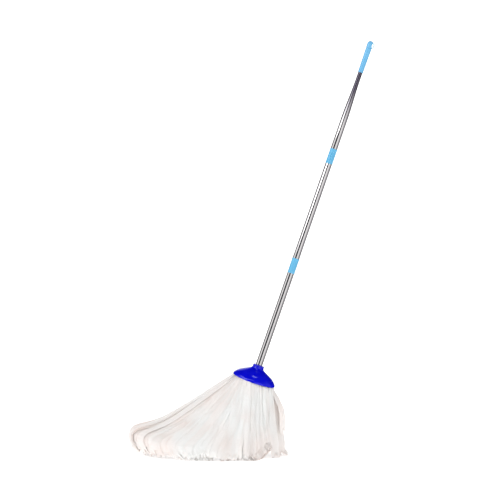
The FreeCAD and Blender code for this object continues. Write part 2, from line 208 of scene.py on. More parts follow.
# %% World
world = bpy.data.worlds.new("studio")
bpy.context.scene.world = world
world.use_nodes = True
sky = Board(world.node_tree)
direction = sky.place("Generated")
side, depth, rise = sky.split(direction)
bearing = side.maths("ARCTAN2", side, depth * -1.0) * (0.5 / math.pi) + 0.5
WHITE = (1.19, 1.17, 1.16)
GREY = (0.475, 0.455, 0.475)
DARK = (0.02, 0.02, 0.03)
CEILING = (0.01, 0.01, 0.02, 1)
LAMP_GLOW = (6.0, 6.0, 6.4, 1)
LAMP_LOW = 0.73
LAMP_HIGH = 0.86
LAMP_EDGE = 25.0
SMALL_LAMP_TOWARDS = (0.31, 0.124, 0.943)
SMALL_LAMP_RIM = 0.9935
SOFT_LEFT = (1.08, 1.08, 1.08, 1)
SOFT_RIGHT = (0.97, 0.95, 0.94, 1)
BACKDROP = (1.8, 1.8, 1.8, 1)
SKY_STRENGTH = 0.82


def turn(degrees):
    """Where a bearing, counted from the camera's side towards +X, sits on the ramp."""
    return degrees / 360 + 0.5


studio = sky.ramp(bearing, [
    (0.0, WHITE),
    (turn(-170), WHITE),
    (turn(-162), DARK),
    (turn(-104), DARK),
    (turn(-92), WHITE),
    (turn(-52), WHITE),
    (turn(-40), DARK),
    (turn(-4), DARK),
    (turn(8), WHITE),
    (turn(46), WHITE),
    (turn(62), GREY),
    (turn(104), GREY),
    (turn(122), DARK),
    (turn(162), DARK),
    (turn(170), WHITE),
    (1.0, WHITE),
])
overhead = (rise * 3.0 - 0.9).clamp()
room = sky.mix(overhead, studio, CEILING)
long_lamp = ((rise - LAMP_LOW) * LAMP_EDGE).clamp() * ((LAMP_HIGH - rise) * LAMP_EDGE).clamp()
long_lamp = long_lamp * (0.7 - side * 2.0).clamp() * (0.7 - depth * 3.5).clamp()
room = sky.mix(long_lamp, room, LAMP_GLOW)
small_lamp = sky.add("ShaderNodeVectorMath", {"operation": "DOT_PRODUCT"},
                     [direction, SMALL_LAMP_TOWARDS], output="Value")
room = sky.mix(((small_lamp - SMALL_LAMP_RIM) * 400.0).clamp(), room, LAMP_GLOW)
ray = sky.add("ShaderNodeLightPath", {}, {}, output="Is Glossy Ray")
soft = sky.mix((side * 0.6 + 0.5).clamp(), SOFT_LEFT, SOFT_RIGHT)
lit = sky.mix(ray, soft, room)
seen = sky.add("ShaderNodeLightPath", {}, {}, output="Is Camera Ray")
lit = sky.mix(seen, lit, BACKDROP)
background = world.node_tree.nodes["Background"]
feed(sky, background, Color=lit)
background.inputs["Strength"].default_value = SKY_STRENGTH
print(f"the studio is drawn with {len(sky.tree.nodes)} nodes")

# %% [markdown]
# A large lamp on the left gives the heap of cloth its light and shade, and a weak one on the right
# opens the shadows. The floor shines a little, as a light table does, so it stays a pale even
# white. Mirrored rays pass through it and meet the painted studio, which goes on below.

# %% Lamps and floor
def area_lamp(name, location, size, power):
    bpy.ops.object.light_add(type="AREA", location=location)
    lamp = bpy.context.object
    lamp.name = name
    lamp.rotation_euler = (Vector(location) - TARGET * 0.5).to_track_quat("Z", "Y").to_euler()
    lamp.data.size = size
    lamp.data.energy = power


area_lamp("key_lamp", (-2.2, -2.0, 2.4), 1.8, 30)
area_lamp("fill_lamp", (2.4, -2.6, 1.4), 1.6, 3)

FLOOR_SIZE = 24
FLOOR_GLOW = 0.5
bpy.ops.mesh.primitive_plane_add(size=FLOOR_SIZE)
floor = bpy.context.object
floor.name = "studio_floor"
material, board, shader = new_material("studio_floor", (0.94, 0.94, 0.94), 0.9)
shader.inputs["Emission Strength"].default_value = FLOOR_GLOW
cloudy = board.noise(board.place(), 3.0)
mirrored = board.add("ShaderNodeLightPath", {}, {}, output="Is Glossy Ray")
shader.inputs["Emission Color"].default_value = (1, 1, 1, 1)
feed(board, shader,
     Base_Color=board.ramp(cloudy, [(0.3, (0.93,) * 3), (0.7, (0.95,) * 3)]),
     Alpha=1 - mirrored)
floor.data.materials.append(material)
print(f"{floor.name}: {FLOOR_SIZE} m square")

# %% [markdown]
# ## Finishes
# Each finish is a few nodes. Bright steel gets long drawing lines: a noise that is stretched along
# the pole, after the coordinates are turned upright. Towards the drawn-down end the steel is rougher,
# and a dark reflection is painted into its colour there.

# %% Steel of the pole
pole_steel, board, shader = new_material("pole_steel", (0.80, 0.80, 0.82), 0.07, Metallic=1.0)
spot = board.place()
upright = board.add("ShaderNodeMapping", {}, {"Vector": spot, "Rotation": (0, -LEAN, 0)})
drawn = board.noise(board.stretch(upright, (1100, 1100, 9)), 1.0, 3.0)
smears = board.noise(spot, 16.0, 3.0)
height = board.split(spot)[2]
bright = board.ramp(drawn, [(0.3, (0.72, 0.71, 0.73)), (0.7, (0.84, 0.83, 0.83))])
# Above this height the steel is mixed towards a dark purple-grey. That dark is a painted reflection, not a
# colour of the steel. The roughness rises there as well.
PAINTED_DARK_FROM = 1.09
PAINTED_DARK_REFLECTION = (0.08, 0.065, 0.11, 1)
dull_and_painted_dark = ((height - PAINTED_DARK_FROM) * 8.0).clamp()
feed(board, shader,
     Roughness=smears * 0.10 + 0.06 + dull_and_painted_dark * 0.26,
     Base_Color=board.mix(dull_and_painted_dark * 0.92, bright, PAINTED_DARK_REFLECTION),
     Normal=board.bump(drawn, 0.06, 0.0002))
print(f"the pole darkens from {PAINTED_DARK_FROM} m upwards")

# %% [markdown]
# All the plastics share one recipe: two close shades, waves where the melt flowed, and a fine
# grain that keeps the highlights from being perfectly clean. Rubber is the same, only duller.

# %% Plastics
def moulded(name, colour, deep, roughness, wave, **fixed):
    """Moulded plastic: two close shades, faint flow waves and fine surface grain."""
    material, board, shader = new_material(name, colour, roughness, **fixed)
    spot = board.place()
    flow = board.noise(spot, 28.0, 3.0)
    grain = board.noise(spot, 2600.0, 2.0)
    feed(board, shader,
         Base_Color=board.ramp(flow, [(0.32, deep), (0.68, colour)]),
         Roughness=flow * 0.10 + (roughness - 0.05),
         Normal=board.bump(flow * wave + grain * 0.02, 0.25, 0.0005))
    return material


cap_plastic = moulded("cap_plastic", linear(5, 10, 210), linear(3, 7, 192), 0.10, 0.4, IOR=1.5)
collar_plastic = moulded("collar_plastic", linear(104, 182, 222), linear(92, 172, 214), 0.16, 0.2)
grip_plastic = moulded("grip_plastic", linear(112, 182, 224), linear(102, 174, 218), 0.22, 0.2)
plug_plastic = moulded("plug_plastic", linear(214, 216, 220), linear(198, 200, 206), 0.45, 0.3)
seal_rubber = moulded("seal_rubber", (0.03, 0.03, 0.03), (0.02, 0.02, 0.02), 0.7, 0.3)
print(f"{cap_plastic.name} and four more moulded finishes")

# %% [markdown]
# The screws and washers are plated with zinc, which is duller than the pole and finely mottled.

# %% Zinc-plated steel
screw_steel, board, shader = new_material("screw_steel", (0.6, 0.6, 0.63), 0.3, Metallic=1.0)
plated = board.noise(board.place(), 900.0, 3.0)
feed(board, shader,
     Roughness=plated * 0.25 + 0.2,
     Base_Color=board.ramp(plated, [(0.35, (0.50, 0.51, 0.53)), (0.65, (0.66, 0.66, 0.66))]),
     Normal=board.bump(plated, 0.15, 0.0002))
print(f"{screw_steel.name} is mottled")

# %% [markdown]
# ### Cloth
# The strips are a soft white non-woven cloth. A UV map that is laid out in real metres lets the
# fibres and the faint embossed lines follow each strip wherever it bends, which Object coordinates
# could not do. An attribute gives each strip a slightly different white.

# %% Cloth
strip_cloth, board, shader = new_material(
    "strip_cloth", linear(243, 240, 236), 0.92, Sheen_Weight=0.25, Sheen_Roughness=0.5,
    Subsurface_Weight=0.25, Subsurface_Scale=0.012)
shader.inputs["Subsurface Radius"].default_value = (1.0, 0.85, 0.75)
along = board.place("UV")
tint = board.add("ShaderNodeAttribute", {"attribute_name": "strip_tint"}, {}, output="Fac")
fibres = board.noise(board.stretch(along, (900, 260, 1)), 1.0, 4.0)
lint = board.noise(board.stretch(along, (160, 160, 1)), 1.0, 3.0)
blotch = board.noise(board.place(), 7.0, 2.0)
cool = (*linear(242, 242, 240), 1)
warm = (*linear(243, 230, 224), 1)
shade = board.mix((tint * 0.35 + blotch * 2.4 - 1.0).clamp(), cool, warm)
worn = board.mix((lint - 0.45).clamp() * 0.5, shade, (*linear(226, 220, 213), 1))
feed(board, shader, Base_Color=worn, Normal=board.bump(fibres * 0.5 + lint, 0.5, 0.0006))

MATERIALS = {
    "cap_plastic": cap_plastic,
    "collar_plastic": collar_plastic,
    "grip_plastic": grip_plastic,
    "plug_plastic": plug_plastic,
    "pole_steel": pole_steel,
    "screw_steel": screw_steel,
    "seal_rubber": seal_rubber,
    "strip_cloth": strip_cloth,
}
for row in record["subparts"]:
    node = bpy.data.objects.get(row["node"])
    if node is not None:
        node.data.materials.clear()
        node.data.materials.append(MATERIALS[row["material_slot"]])
print(f"{len(MATERIALS)} finishes")

# %% [markdown]
# ## Turning
# Most pieces are round about the pole. A circle is added, then extruded and scaled ring by ring,
# as on a potter's wheel. Corners are softened afterwards by bevelling the ring edges, because a
# real moulding or a cut tube never has a knife edge and the small radius catches the light.

# %% Lathe helper
def pick(piece):
    """Select one piece alone and make it the active one."""
    bpy.ops.object.select_all(action="DESELECT")
    piece.select_set(True)
    bpy.context.view_layer.objects.active = piece


def start_edit():
    bpy.ops.object.mode_set(mode="EDIT")
    bpy.ops.mesh.select_mode(type="VERT")
    bpy.ops.mesh.select_all(action="SELECT")


def face_outward():
    """Turn every face of the active piece outward, from edit mode, and leave edit mode."""
    bpy.ops.mesh.select_all(action="SELECT")
    bpy.ops.mesh.normals_make_consistent(inside=False)
    bpy.ops.object.mode_set(mode="OBJECT")


def close_ends():
    """Fill the open ends of the active piece."""
    start_edit()
    bpy.ops.mesh.select_all(action="DESELECT")
    bpy.ops.mesh.select_non_manifold()
    bpy.ops.mesh.fill_holes(sides=0)
    face_outward()


def turned(name, rings, segments=96, loop=True, bevels=()):
    """Rings of (radius, height) joined in order, and round again to the first if loop is set.

    bevels gives (ring number, width, steps) for the ring edges that get a rounded corner.
    """
    bpy.ops.object.select_all(action="DESELECT")
    radius, height = rings[0]
    bpy.ops.mesh.primitive_circle_add(vertices=segments, radius=radius, location=(0, 0, height))
    piece = bpy.context.object
    piece.name = name
    bpy.ops.object.transform_apply(location=True, rotation=True, scale=True)
    start_edit()
    steps = rings[1:] + rings[:1] if loop else rings[1:]
    for next_radius, next_height in steps:
        move = {"value": (0, 0, next_height - height)}
        bpy.ops.mesh.extrude_region_move(TRANSFORM_OT_translate=move)
        scale = next_radius / radius
        bpy.ops.transform.resize(value=(scale, scale, 1))
        radius, height = next_radius, next_height
    bpy.ops.mesh.select_all(action="SELECT")
    bpy.ops.mesh.remove_doubles(threshold=1e-6)
    bpy.ops.object.mode_set(mode="OBJECT")
    for number, width, count in bevels:
        bevel_ring(piece, rings[number], width, count)
    start_edit()
    face_outward()
    return piece


def bevel_ring(piece, ring, width, steps):
    """Round the circular edge that lies at one (radius, height)."""
    radius, height = ring
    bpy.context.view_layer.objects.active = piece
    bpy.ops.object.mode_set(mode="EDIT")
    bpy.ops.mesh.select_mode(type="EDGE")
    bpy.ops.mesh.select_all(action="DESELECT")
    bpy.ops.object.mode_set(mode="OBJECT")
    points = piece.data.vertices
    on_ring = [abs(math.hypot(p.co.x, p.co.y) - radius) < 1e-5 and abs(p.co.z - height) < 1e-5
               for p in points]
    for edge in piece.data.edges:
        edge.select = all(on_ring[index] for index in edge.vertices)
    bpy.ops.object.mode_set(mode="EDIT")
    bpy.ops.mesh.bevel(offset=width, segments=steps, affect="EDGES")
    bpy.ops.object.mode_set(mode="OBJECT")


def place_on_pole(piece):
    piece.matrix_world = POLE @ piece.matrix_world
    pick(piece)
    bpy.ops.object.transform_apply(location=True, rotation=True, scale=True)


def finish_piece(piece, body, slot, *nodes, angle=35):
    """Smooth shading, finish, body and the solid nodes that the piece stands for."""
    pick(piece)
    bpy.ops.object.shade_smooth_by_angle(angle=math.radians(angle))
    piece.data.materials.clear()
    piece.data.materials.append(MATERIALS[slot])
    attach(piece, body)
    if nodes:
        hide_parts(*nodes)
    print(f"{piece.name}: {len(piece.data.polygons)} faces on {body}")


def join_pieces(main, *others):
    bpy.ops.object.select_all(action="DESELECT")
    for other in (main, *others):
        other.select_set(True)
    bpy.context.view_layer.objects.active = main
    bpy.ops.object.join()
    return main

# %% [markdown]
# ## The cap
# A wide glossy skirt with a rolled lip, a socket neck for the pole, and inside it the round rib
# that presses on the strips' band. Its wall is one closed profile, outside and inside, so the
# underside is as real as the top.

# %% Cap
THREAD_NECK = 0.0095
cap_rings = [
    (0.0725, 0.0), (0.0727, 0.0022), (0.0722, 0.0048), (0.0694, 0.0092), (0.0645, 0.0148),
    (0.0575, 0.0207), (0.0490, 0.0256), (0.0395, 0.0306), (0.0305, 0.0352), (0.0244, 0.0384),
    (0.0204, 0.0412), (0.0189, 0.0446), (0.0185, 0.0480), (0.0185, 0.0530),
    (0.01108, 0.0530), (0.01108, 0.0370), (THREAD_NECK, 0.0370), (THREAD_NECK, 0.0040),
    (0.0140, 0.0040), (0.0140, 0.0336), (0.0300, 0.0325), (0.0395, 0.0280), (0.0500, 0.0222),
    (0.0500, 0.0080), (0.0522, 0.0080), (0.0522, 0.0208), (0.0560, 0.0188), (0.0628, 0.0130),
    (0.0674, 0.0080), (0.0701, 0.0040), (0.0701, 0.0),
]
cap = turned("cap_moulding", cap_rings, segments=144,
             bevels=[(0, 0.0007, 3), (13, 0.0012, 4), (14, 0.0006, 3), (15, 0.0003, 2),
                     (18, 0.0005, 2), (23, 0.0004, 2), (24, 0.0004, 2), (30, 0.0007, 3)])
BOSS_CIRCLE = 0.030
bosses = []
for quarter in range(4):
    boss = turned(f"boss_{quarter}", [(0.0020, 0.0), (0.0046, 0.0), (0.0046, 0.0335), (0.0020, 0.0335)],
                  segments=32, bevels=[(1, 0.0004, 2)])
    boss.location = (BOSS_CIRCLE * math.cos(quarter * math.pi / 2),
                     BOSS_CIRCLE * math.sin(quarter * math.pi / 2), 0)
    bpy.ops.object.transform_apply(location=True, rotation=False, scale=False)
    bosses.append(boss)
cap = join_pieces(cap, *bosses)
place_on_pole(cap)
finish_piece(cap, "head", "cap_plastic", "mop_cap", angle=40)

# %% [markdown]
# ## Tubes
# Thin-walled tubes with rolled ends. The upper one is drawn down towards the grip. A high count of
# segments matters here: on a mirror every facet would show as a straight band.

# %% Tubes
TUBE = 0.011
TUBE_WALL = 0.0006
SEAT = 0.039
FIRST_JOINT = 0.406
PITCH = 0.383
SEAL_AND_WEB = 0.004
SWAGE_START = 0.917
SWAGE_END = 1.057
TOP = 0.0072
TUBE_END = 1.147


def tube_rings(low, high):
    """Outer wall up and inner wall down, with extra rings so that the wall stays smooth."""
    heights = np.linspace(low, high, 9)
    outer = [(TUBE, float(height)) for height in heights]
    inner = [(TUBE - TUBE_WALL, float(height)) for height in heights[::-1]]
    return outer + inner


def swaged_rings(low):
    """The same for the tube that narrows along a smooth S between two heights."""
    swage = np.linspace(0, 1, 13)
    eased = swage * swage * (3 - 2 * swage)
    radii = [TUBE, *(TUBE - (TUBE - TOP) * eased), TOP]
    heights = [low, *(SWAGE_START + (SWAGE_END - SWAGE_START) * swage), TUBE_END]
    outer = [(float(radius), float(height)) for radius, height in zip(radii, heights)]
    return outer + [(radius - TUBE_WALL, height) for radius, height in outer[::-1]]


tubes = {
    "lower_tube": ("lower_section", tube_rings(SEAT, FIRST_JOINT - SEAL_AND_WEB)),
    "middle_tube": ("middle_section", tube_rings(FIRST_JOINT, FIRST_JOINT + PITCH - SEAL_AND_WEB)),
    "upper_tube": ("upper_section", swaged_rings(FIRST_JOINT + PITCH)),
}
for node, (body, rings) in tubes.items():
    last = len(rings) - 1
    tube = turned(f"{node}_bright", rings, segments=128, bevels=[(0, 0.0002, 2), (last, 0.0002, 2)])
    place_on_pole(tube)
    finish_piece(tube, body, "pole_steel", node, angle=50)

# %% [markdown]
# ## Studs
# Each tube ends in a plug with a threaded stud. The thread is one small tooth profile that the
# Screw modifier winds up the stud, the way a die cuts it.

# %% Studs
THREAD_PITCH = 0.004
THREAD_TURNS = 6
STUD_LENGTH = 0.028
PLUG_LENGTH = 0.030
RUNNING_GAP = 0.00008


def threaded_plug(name, joint, thread):
    """Plug inside the tube and a wound thread below it, about the Z axis."""
    crest = thread - RUNNING_GAP
    root = crest - 0.0011
    bore = thread - 0.003
    plug = turned(name, [(bore, joint), (TUBE - TUBE_WALL, joint), (TUBE - TUBE_WALL, joint + PLUG_LENGTH),
                         (bore, joint + PLUG_LENGTH)], segments=64, bevels=[(2, 0.001, 2)])
    core = turned(f"{name}_core", [(bore, joint - STUD_LENGTH), (root - 0.0004, joint - STUD_LENGTH),
                                   (root, joint - STUD_LENGTH + 0.0004), (root, joint), (bore, joint)],
                  segments=64)
    bpy.ops.object.select_all(action="DESELECT")
    bpy.ops.mesh.primitive_plane_add(size=1)
    tooth = bpy.context.object
    low = joint - STUD_LENGTH + 0.001
    corners = [(root - 0.0002, -0.0015), (root - 0.0002, 0.0015), (crest, -0.0005), (crest, 0.0005)]
    for point, (out, up) in zip(tooth.data.vertices, corners):
        point.co = (out, 0, low + 0.0015 + up)
    wind = tooth.modifiers.new("wind", "SCREW")
    wind.steps = 48
    wind.render_steps = 48
    wind.angle = 2 * math.pi
    wind.iterations = THREAD_TURNS
    wind.screw_offset = THREAD_PITCH
    bpy.ops.object.modifier_apply(modifier="wind")
    start_edit()
    bpy.ops.mesh.remove_doubles(threshold=1e-6)
    face_outward()
    return join_pieces(plug, core, tooth)


THREAD_COLLAR = 0.0075
plugs = {
    "lower_end_plug": ("lower_section", SEAT, THREAD_NECK),
    "middle_end_plug": ("middle_section", FIRST_JOINT, THREAD_COLLAR),
    "upper_end_plug": ("upper_section", FIRST_JOINT + PITCH, THREAD_COLLAR),
}
for node, (body, joint, thread) in plugs.items():
    plug = threaded_plug(f"{node}_stud", joint, thread)
    place_on_pole(plug)
    finish_piece(plug, body, "plug_plastic", node, angle=30)

# %% [markdown]
# ## Collars
# The couplings are short sleeves with a raised bead at each end and shallow flutes for a wet hand.
# The flutes are two faces out of every four round the sleeve, inset a little and pushed inwards.

# %% Collars
SEAL = 0.002
COLLAR = 0.012
COLLAR_LENGTH = 0.051
SPIGOT = 0.042
BEAD = 0.0003
FIT = 0.00003
PANEL = 0.0085
FACE_DEGREES = 3.75


def fluted_collar(name, joint):
    middle = joint - SEAL
    low = middle - COLLAR_LENGTH / 2
    high = middle + COLLAR_LENGTH / 2
    rings = [
        (TUBE, low), (COLLAR - 0.0004, low), (COLLAR, low + 0.0004), (COLLAR, low + 0.0040),
        (COLLAR - BEAD, low + 0.0046), (COLLAR - BEAD, low + PANEL),
        (COLLAR - BEAD, high - PANEL), (COLLAR - BEAD, high - 0.0046),
        (COLLAR, high - 0.0040), (COLLAR, high - 0.0004), (COLLAR - 0.0004, high),
        (TUBE + RUNNING_GAP, high), (TUBE + RUNNING_GAP, middle - FIT), (THREAD_COLLAR, middle - FIT),
        (THREAD_COLLAR, middle - SPIGOT), (TUBE - TUBE_WALL, middle - SPIGOT),
        (TUBE - TUBE_WALL, middle - SEAL), (TUBE, middle - SEAL),
    ]
    piece = turned(name, rings, segments=96)
    bpy.ops.object.mode_set(mode="EDIT")
    bpy.ops.mesh.select_mode(type="FACE")
    bpy.ops.mesh.select_all(action="DESELECT")
    bpy.ops.object.mode_set(mode="OBJECT")
    for face in piece.data.polygons:
        centre = face.center
        out = math.hypot(centre.x, centre.y)
        number = round(math.degrees(math.atan2(centre.y, centre.x)) / FACE_DEGREES - 0.5)
        long_face = low + PANEL < centre.z < high - PANEL
        face.select = long_face and out > COLLAR - 0.0006 and number % 4 in (0, 1)
    bpy.ops.object.mode_set(mode="EDIT")
    bpy.ops.mesh.inset(thickness=0.00035, depth=-0.00025)
    bpy.ops.object.mode_set(mode="OBJECT")
    return piece


for node, body, joint in (("lower_collar", "lower_section", FIRST_JOINT),
                          ("upper_collar", "middle_section", FIRST_JOINT + PITCH)):
    collar = fluted_collar(f"{node}_fluted", joint)
    place_on_pole(collar)
    finish_piece(collar, body, "collar_plastic", node, angle=32)

# %% [markdown]
# ## Grip
# A soft-looking sleeve, a little fatter at the top, with a flared foot and shallow finger rings.
# The outline is worked out by a formula, so the rings blend into the barrel.

# %% Grip
GRIP_START = 1.078
GRIP_END = 1.162
GRIP_WALL = 0.007
GRIP_LOW = 0.0083
GRIP_TOP = 0.0098
STEM = 0.0035


def grip_rings():
    heights = np.linspace(GRIP_START, GRIP_END, 85)
    share = (heights - GRIP_START) / (GRIP_END - GRIP_START)
    barrel = GRIP_LOW + (GRIP_TOP - GRIP_LOW) * share ** 0.8
    in_rings = np.clip(np.sin(np.pi * np.clip((share - 0.18) / 0.62, 0, 1)) * 3, 0, 1)
    waves = 0.00028 * np.cos(2 * np.pi * (heights - GRIP_START) / 0.0085) * in_rings
    foot = 0.0006 * np.exp(-((share - 0.015) / 0.02) ** 2)
    radii = barrel + waves + foot - 0.0002
    outside = [(float(radius), float(height)) for radius, height in zip(radii, heights)]
    top = GRIP_END - GRIP_WALL
    return outside + [(STEM + RUNNING_GAP, GRIP_END), (STEM + RUNNING_GAP, top), (TOP, top),
                      (TOP, GRIP_START)]


grip = turned("grip_moulding", grip_rings(), segments=72,
              bevels=[(0, 0.0004, 2), (84, 0.0008, 3), (85, 0.0002, 2)])
place_on_pole(grip)
finish_piece(grip, "upper_section", "grip_plastic", "grip_sleeve", angle=40)

# %% [markdown]
# ## Hanging end
# A domed end that turns on a stem, with an eye on its side. It is joined from a turned body and a
# flat rounded ring, then remeshed finely, which melts the two together as one moulding.

# %% Hanging end
LOOP_TOP = 1.187
LOOP_GAP = 0.0003
EYE_OFFSET = 0.0094
EYE_HEIGHT = 1.173
EYE_HALF_WIDTH = 0.0028
EYE_HALF_SPAN = 0.0034
EYE_RIM = 0.0023
EYE_DEPTH = 0.0065


def upright_slot(name, half_width, depth):
    """A round-ended block about the eye's centre: a cylinder whose two halves are pulled apart."""
    bpy.ops.object.select_all(action="DESELECT")
    bpy.ops.mesh.primitive_cylinder_add(vertices=64, radius=half_width, depth=depth,
                                        location=(EYE_OFFSET, 0, EYE_HEIGHT),
                                        rotation=(math.pi / 2, 0, 0))
    block = bpy.context.object
    block.name = name
    bpy.ops.object.transform_apply(location=True, rotation=True, scale=True)
    for point in block.data.vertices:
        offset = point.co.z - EYE_HEIGHT
        if abs(offset) > 1e-7:
            point.co.z += math.copysign(EYE_HALF_SPAN, offset)
    return block


def boolean(main, tool, operation):
    step = main.modifiers.new(operation.lower(), "BOOLEAN")
    step.operation = operation
    step.object = tool
    pick(main)
    bpy.ops.object.modifier_apply(modifier=step.name)
    bpy.data.objects.remove(tool)


foot = GRIP_END + LOOP_GAP
dome = turned("hanging_end", [
    (0.0004, foot - 0.013), (STEM, foot - 0.013), (STEM, foot), (GRIP_TOP - 0.001, foot),
    (GRIP_TOP, foot + 0.001), (GRIP_TOP, EYE_HEIGHT + 0.003), (GRIP_TOP - 0.0007, LOOP_TOP - 0.0070),
    (GRIP_TOP - 0.0024, LOOP_TOP - 0.0036), (GRIP_TOP - 0.0052, LOOP_TOP - 0.0011),
    (0.0004, LOOP_TOP - 0.0001),
], segments=72, loop=False)
close_ends()
boolean(dome, upright_slot("eye_rim", EYE_HALF_WIDTH + EYE_RIM, EYE_DEPTH), "UNION")
boolean(dome, upright_slot("eye_hole", EYE_HALF_WIDTH, 0.04), "DIFFERENCE")
melt = dome.modifiers.new("melt", "REMESH")
melt.mode = "VOXEL"
melt.voxel_size = 0.00042
bpy.ops.object.modifier_apply(modifier="melt")
soften = dome.modifiers.new("soften", "SMOOTH")
soften.factor = 0.5
soften.iterations = 6
bpy.ops.object.modifier_apply(modifier="soften")
place_on_pole(dome)
finish_piece(dome, "loop", "grip_plastic", "hanging_loop", angle=60)

# %% [markdown]
# ## Screws
# Pan-head screws hold the disc. Each head is a short turned dome with a cross recess, which is two
# crossed blocks cut out of it. One is modelled and copied.

# %% Screws
DISC_WALL = 0.004
WASHER = 0.001


def pan_screw():
    under = -DISC_WALL - WASHER
    screw = turned("screw", [(0.0004, under + 0.020), (0.0020, under + 0.0185), (0.0020, under),
                             (0.0040, under), (0.0040, under - 0.0010), (0.0034, under - 0.0020),
                             (0.0020, under - 0.0026), (0.0004, under - 0.0026)],
                   segments=48, loop=False)
    close_ends()
    for angle in (0, math.pi / 2):
        bpy.ops.mesh.primitive_cube_add(size=1, location=(0, 0, under - 0.0022), rotation=(0, 0, angle))
        blade = bpy.context.object
        blade.scale = (0.0046, 0.0009, 0.0026)
        bpy.ops.object.transform_apply(location=True, rotation=True, scale=True)
        boolean(screw, blade, "DIFFERENCE")
    return screw


first_screw = pan_screw()
screws = [first_screw]
for quarter in range(1, 4):
    twin = first_screw.copy()
    twin.data = first_screw.data.copy()
    bpy.context.collection.objects.link(twin)
    screws.append(twin)
for quarter, screw in enumerate(screws):
    angle = quarter * math.pi / 2
    screw.data.transform(Matrix.Rotation(0.4 + quarter, 4, "Z"))
    place = (BOSS_CIRCLE * math.cos(angle), BOSS_CIRCLE * math.sin(angle), 0)
    screw.data.transform(Matrix.Translation(place))
screws = join_pieces(*screws)
screws.name = "clamp_screw_set"
place_on_pole(screws)
finish_piece(screws, "head", "screw_steel", "clamp_screws", angle=30)

# %% [markdown]
# ## Clamp disc
# A flat moulded ring that the screws pull up against the cap. It has a shallow sunk track on its
# lower face, and it is turned like the cap.

# %% Disc
disc = turned("clamp_disc_moulding", [
    (0.0120, -0.0040), (0.0180, -0.0040), (0.0195, -0.0034), (0.0400, -0.0034), (0.0415, -0.0040),
    (0.0520, -0.0040), (0.0520, 0.0), (0.0120, 0.0)], segments=120,
    bevels=[(5, 0.0012, 3), (0, 0.0008, 2)])
place_on_pole(disc)
finish_piece(disc, "head", "cap_plastic", "clamp_disc", angle=35)

# %% [markdown]
# ## Cloth strips
# The strips hang like a very full skirt that was drawn to one side. Modelled one by one they
# would cut through each other, so the skirt comes first, as an unseen smooth surface with soft
# folds in it. It is described by a few falls, which say how far out and how high the cloth gets in
# each direction. Every strip is then laid on that surface, a little tilted so that it overlaps
# its neighbour like a roof tile.

# %% The fall of the strips
# Direction in degrees from +X: then how far out a strip gets, the height of its hump, the height
# of its toe, how far out it ends on the floor and in which direction, and where its root is.
FALLS = {
    15: (0.074, 0.122, 0.092, 0.045, 110, 12),
    42: (0.078, 0.120, 0.088, 0.065, 95, 32),
    66: (0.092, 0.116, 0.076, 0.085, 88, 52),
    93: (0.118, 0.108, 0.050, 0.108, 98, 74),
    120: (0.142, 0.108, 0.046, 0.130, 120, 96),
    140: (0.206, 0.114, 0.056, 0.186, 140, 116),
    160: (0.306, 0.121, 0.072, 0.276, 160, 142),
    170: (0.396, 0.125, 0.086, 0.356, 170, 160),
    180: (0.414, 0.127, 0.088, 0.376, 180, 178),
    188: (0.376, 0.125, 0.082, 0.342, 188, 194),
    200: (0.276, 0.119, 0.064, 0.254, 200, 212),
    218: (0.182, 0.112, 0.050, 0.168, 218, 231),
    240: (0.122, 0.108, 0.044, 0.114, 240, 250),
    266: (0.104, 0.108, 0.046, 0.096, 264, 270),
    284: (0.096, 0.112, 0.066, 0.084, 268, 286),
    300: (0.088, 0.116, 0.092, 0.070, 260, 300),
    318: (0.077, 0.120, 0.100, 0.052, 250, 316),
}
TAIL_FALLS = {
    -46: (0.078, 0.112, 0.060, 0.078, -45, -44),
    -32: (0.091, 0.114, 0.056, 0.091, -31, -32),
    -14: (0.104, 0.118, 0.054, 0.102, -14, -18),
    10: (0.102, 0.118, 0.054, 0.100, 10, 0),
}


def ring_point(degrees, radius, drop):
    """A point of a circle parallel to the rim, above the plan direction given."""
    azimuth = math.radians(degrees)
    reach = radius / math.hypot(math.cos(azimuth) / math.cos(LEAN), math.sin(azimuth))
    across = reach * math.cos(azimuth)
    height = RIM_HEIGHT - drop / math.cos(LEAN) - across * math.tan(LEAN)
    return np.array([across, reach * math.sin(azimuth), height])


def smooth_path(knots, count):
    """Catmull-Rom curve through the knots, as evenly spaced points, and its length."""
    knots = np.array(knots)
    padded = np.vstack([2 * knots[0] - knots[1], knots, 2 * knots[-1] - knots[-2]])
    share = np.linspace(0, 1, 16, endpoint=False)[:, None]
    pieces = [0.5 * (2 * b + (c - a) * share + (2 * a - 5 * b + 4 * c - d) * share ** 2
                     + (3 * b - a - 3 * c + d) * share ** 3)
              for a, b, c, d in zip(padded, padded[1:], padded[2:], padded[3:])]
    points = np.vstack([*pieces, knots[-1:]])
    run = np.concatenate([[0], np.cumsum(np.linalg.norm(np.diff(points, axis=0), axis=1))])
    even = np.linspace(0, run[-1], count)
    return np.stack([np.interp(even, run, column) for column in points.T], axis=1), run[-1]


LEVELS = 120


def fall_path(degrees, fall, tuck):
    """One line down the skirt: under the rim, over the bulge and the hump, and in at the foot."""
    reach, hump, toe, foot, foot_degrees, root = fall
    plan = np.array([math.cos(math.radians(degrees)), math.sin(math.radians(degrees))])
    end = np.array([math.cos(math.radians(foot_degrees)), math.sin(math.radians(foot_degrees))])
    inside = ring_point(root, 0.062, -0.003)
    edge = ring_point(root, 0.0672, 0.0026)
    bulge = ring_point(root, 0.0715, 0.012)
    span = plan * reach - edge[:2]
    hump_at = edge[:2] + 0.66 * span
    toe_at = edge[:2] + 0.985 * span
    knots = [
        inside,
        edge,
        bulge,
        (*hump_at, hump),
        (*toe_at, toe),
        (*(plan * reach), toe * 0.5),
        (*(end * foot), 0.002),
        (*(end * max(foot - tuck, 0.004)), 0.002),
    ]
    return smooth_path(knots, LEVELS)


# %% [markdown]
# ### Creases
# Cloth that hangs free has broad smooth areas with narrow creases between them, at uneven gaps.
# Waves would be too regular. So each crease is pressed in by itself, with its own place, depth,
# width and length, and a lean that makes it run a little across the cloth.

# %% Skirt
COLUMNS = 720


